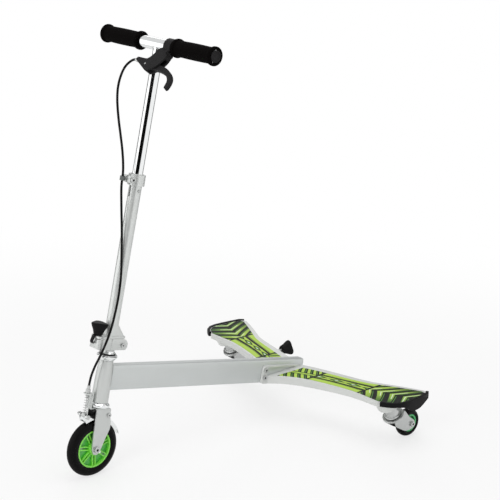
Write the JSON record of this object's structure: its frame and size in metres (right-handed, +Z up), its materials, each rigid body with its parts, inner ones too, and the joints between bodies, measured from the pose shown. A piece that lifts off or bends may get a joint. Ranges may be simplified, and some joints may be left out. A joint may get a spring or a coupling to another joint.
{
  "type": "three-wheeled caster scooter",
  "caption": "Three-wheeled scooter with a folding T-bar, a hand brake on the front wheel and two foot wings on inclined swivel casters.",
  "frame": {"origin": "on the ground, under the middle of the outer box", "axes": "+Z up, -Y forward towards the front wheel, +X towards the rider's left hand, the brake lever's side"},
  "size_m": [0.6558, 0.785, 0.9231],
  "materials": {
    "tube_aluminium": "satin brushed",
    "grey_paint": "fine metallic grey paint",
    "chrome": "bright plated",
    "zinc_steel": "zinc plated",
    "white_casting": "gloss white powder coat",
    "deck_print": "fine-grained printed pad in lime, green and black",
    "black_plastic": "satin moulded",
    "lever_plastic": "satin moulded",
    "grip_foam": "matte foam",
    "tyre_rubber": "smooth urethane",
    "front_wheel_green": "gloss moulded",
    "caster_wheel_green": "gloss moulded",
    "cable_sheath": "gloss extruded"
  },
  "bodies": {
    "frame": {"main_tube": "tube_aluminium", "tube_end_cap": "tube_aluminium", "head_tube": "grey_paint", "lower_headset_cup": "chrome", "upper_headset_cup": "chrome", "left_wing": "white_casting", "right_wing": "white_casting", "left_deck_pad": "deck_print", "right_deck_pad": "deck_print", "left_tip_bumper": "black_plastic", "right_tip_bumper": "black_plastic", "upper_wing_bolt": "zinc_steel", "lower_wing_bolt": "zinc_steel", "left_caster_race": "chrome", "right_caster_race": "chrome", "rear_knob_stud": "zinc_steel"},
    "front_fork": {"fork": "grey_paint", "headset_locknut": "chrome", "hinge_block": "grey_paint", "fold_pivot_bolt": "zinc_steel", "front_axle_bolt": "zinc_steel", "front_axle_nut": "zinc_steel", "brake_pivot_bolt": "zinc_steel", "cable_stop_bracket": "grey_paint", "barrel_adjuster": "zinc_steel", "brake_return_spring": "zinc_steel", "brake_wire": "zinc_steel"},
    "front_wheel": {"front_tyre": "tyre_rubber", "front_hub": "front_wheel_green"},
    "front_brake": {"brake_arm": "chrome", "cable_anchor_bolt": "zinc_steel"},
    "column": {"column_tube": "grey_paint", "clamp_collar": "grey_paint", "clamp_bolt": "zinc_steel", "cable_guide": "black_plastic", "fold_catch": "black_plastic", "lower_brake_cable": "cable_sheath"},
    "fold_screw": {"fold_knob": "black_plastic", "fold_bolt": "zinc_steel"},
    "quick_lever": {"quick_release_lever": "grey_paint"},
    "detent": {"height_button": "zinc_steel"},
    "bars": {"handlebar": "chrome", "left_grip": "grip_foam", "right_grip": "grip_foam", "left_end_plug": "lever_plastic", "right_end_plug": "lever_plastic", "lever_perch": "lever_plastic", "lever_pin": "zinc_steel", "cable_ferrule": "zinc_steel", "upper_brake_cable": "cable_sheath"},
    "hand_lever": {"brake_lever": "lever_plastic"},
    "rear_screw": {"rear_knob": "black_plastic"},
    "left_swivel": {"left_caster_fork": "zinc_steel", "left_caster_axle": "zinc_steel"},
    "left_caster_wheel": {"left_caster_tyre": "tyre_rubber", "left_caster_hub": "caster_wheel_green"},
    "right_swivel": {"right_caster_fork": "zinc_steel", "right_caster_axle": "zinc_steel"},
    "right_caster_wheel": {"right_caster_tyre": "tyre_rubber", "right_caster_hub": "caster_wheel_green"}
  },
  "joints": [
    {"name": "steering", "type": "hinge", "parent": "frame", "child": "front_fork", "pos_m": [0, -0.30061, 0.20959], "axis": [0, 0.1959, 0.9806], "range_deg": [-60, 60]},
    {"name": "front_wheel_spin", "type": "hinge", "parent": "front_fork", "child": "front_wheel", "pos_m": [0, -0.33, 0.0625], "axis": [1, 0, 0], "continuous": true},
    {"name": "column_fold", "type": "hinge", "parent": "front_fork", "child": "column", "pos_m": [0, -0.26228, 0.28097], "axis": [-1, 0, 0], "range_deg": [0, 90], "deforming": ["lower_brake_cable"]},
    {"name": "bar_height", "type": "slide", "parent": "column", "child": "bars", "axis": [0, 0.1959, 0.9806], "range_m": [-0.2, 0], "deforming": ["upper_brake_cable"]},
    {"name": "fold_knob_turn", "type": "hinge", "parent": "column", "child": "fold_screw", "pos_m": [0, -0.31338, 0.31922], "axis": [0, 0.1959, 0.9806], "continuous": true},
    {"name": "quick_release", "type": "hinge", "parent": "column", "child": "quick_lever", "pos_m": [-0.0176, -0.23592, 0.63282], "axis": [0, 0.1959, 0.9806], "range_deg": [0, 120]},
    {"name": "height_button_press", "type": "slide", "parent": "column", "child": "detent", "axis": [-1, 0, 0], "range_m": [0, 0.0012], "stiffness_N_per_m": 300},
    {"name": "brake_lever_pull", "type": "hinge", "parent": "bars", "child": "hand_lever", "pos_m": [0.014, -0.20435, 0.86585], "axis": [0, -0.6669, 0.7451], "range_deg": [0, 20], "stiffness_Nm_per_rad": 0.6},
    {"name": "brake_arm_rock", "type": "hinge", "parent": "front_fork", "child": "front_brake", "pos_m": [0, -0.29765, 0.13252], "axis": [-1, 0, 0], "range_deg": [0, 2.8], "deforming": ["brake_return_spring", "brake_wire"]},
    {"name": "rear_knob_turn", "type": "hinge", "parent": "frame", "child": "rear_screw", "pos_m": [-0.11, 0.335, 0.1035], "axis": [0, 1, 0], "continuous": true},
    {"name": "left_caster_swivel", "type": "hinge", "parent": "frame", "child": "left_swivel", "pos_m": [0.273, 0.311, 0.0615], "axis": [0, -0.5, 0.866], "continuous": true},
    {"name": "left_caster_roll", "type": "hinge", "parent": "left_swivel", "child": "left_caster_wheel", "pos_m": [0.273, 0.36, 0.0325], "axis": [1, 0, 0], "continuous": true},
    {"name": "right_caster_swivel", "type": "hinge", "parent": "frame", "child": "right_swivel", "pos_m": [-0.273, 0.311, 0.0615], "axis": [0, -0.5, 0.866], "continuous": true},
    {"name": "right_caster_roll", "type": "hinge", "parent": "right_swivel", "child": "right_caster_wheel", "pos_m": [-0.273, 0.36, 0.0325], "axis": [1, 0, 0], "continuous": true}
  ],
  "couplings": [
    {"joint": "brake_arm_rock", "follows": "brake_lever_pull", "ratio": 0.14}
  ]
}
